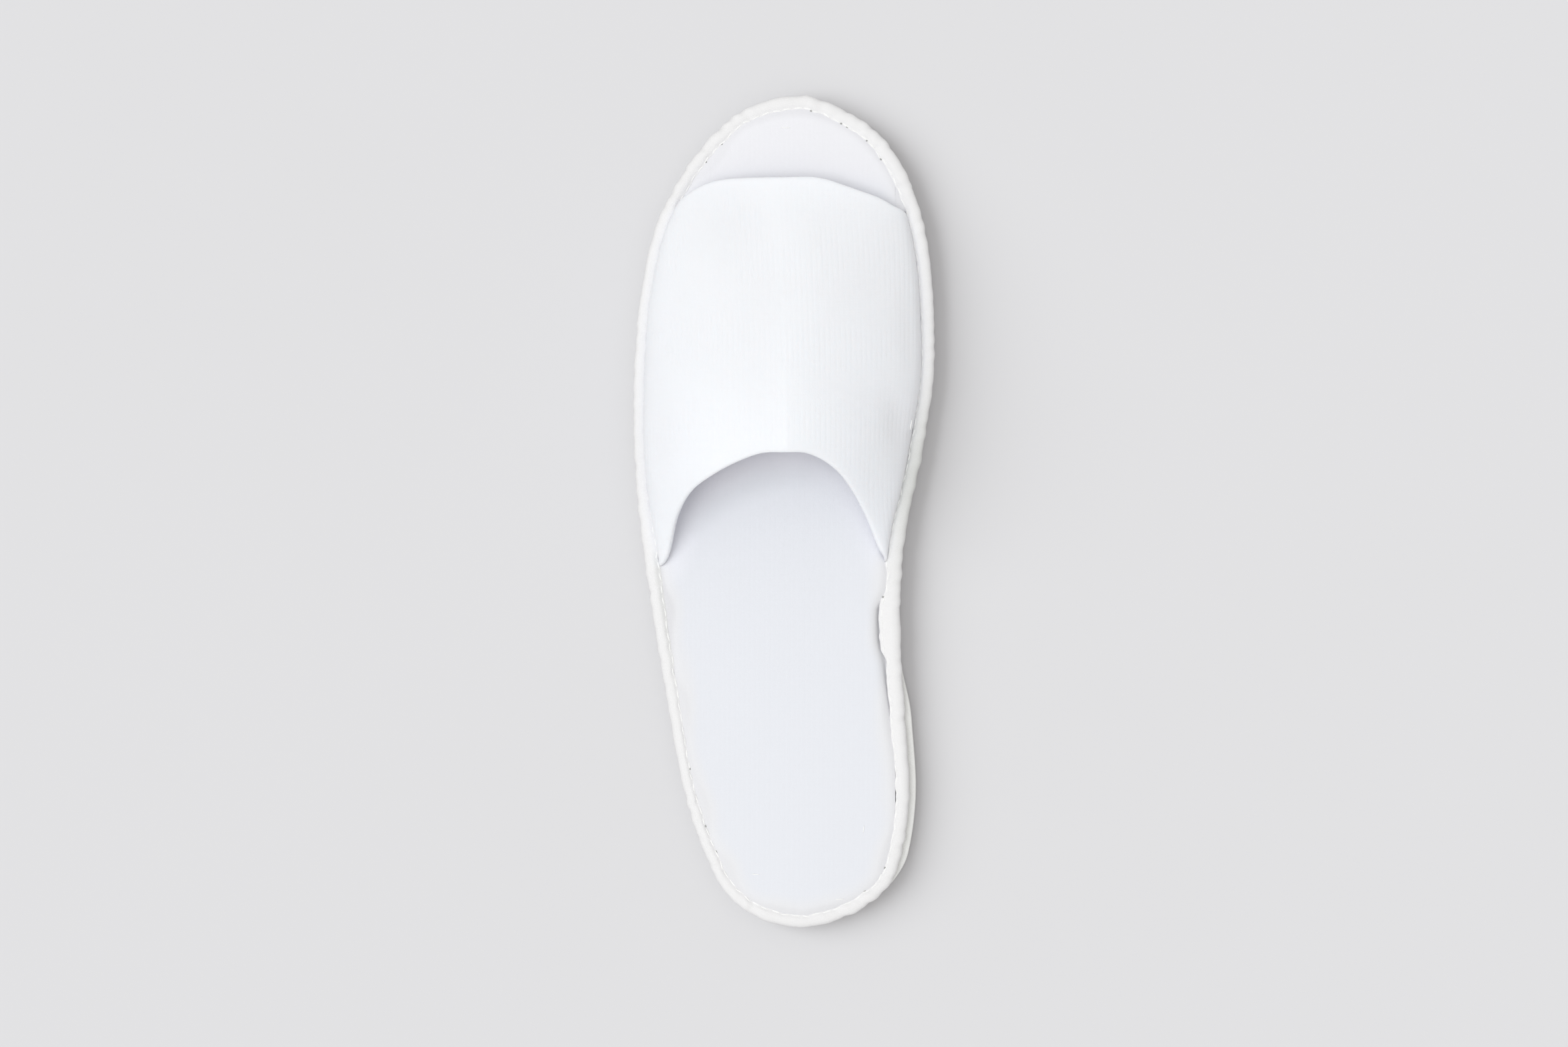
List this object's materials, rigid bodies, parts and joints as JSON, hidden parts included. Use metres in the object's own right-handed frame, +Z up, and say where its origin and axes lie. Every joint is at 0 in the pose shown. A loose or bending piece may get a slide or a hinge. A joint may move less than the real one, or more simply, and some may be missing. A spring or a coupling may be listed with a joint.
{
  "type": "hotel slipper",
  "caption": "Open-toe, open-back hotel slipper for the left foot: ribbed cloth vamp and footbed, tape binding round the edge and a flat foam outsole.",
  "frame": {"origin": "centre of the slipper's footprint box, on the floor under the outsole", "axes": "+Y to the toe, +X to the arch (medial) side, +Z up from the floor"},
  "size_m": [0.1034, 0.285, 0.0365],
  "materials": {
    "eva_foam": "matt white closed-cell foam with a fine pebbled tread",
    "footbed_cloth": "brushed white cloth with fine lengthwise ribs",
    "binding_tape": "folded ivory-white cotton tape, slightly puckered",
    "vamp_cloth": "brushed white cloth with fine lengthwise ribs, hemmed ends"
  },
  "bodies": {
    "root": {"outsole": "eva_foam", "footbed": "footbed_cloth", "edge_binding": "binding_tape", "vamp": "vamp_cloth"}
  },
  "joints": []
}
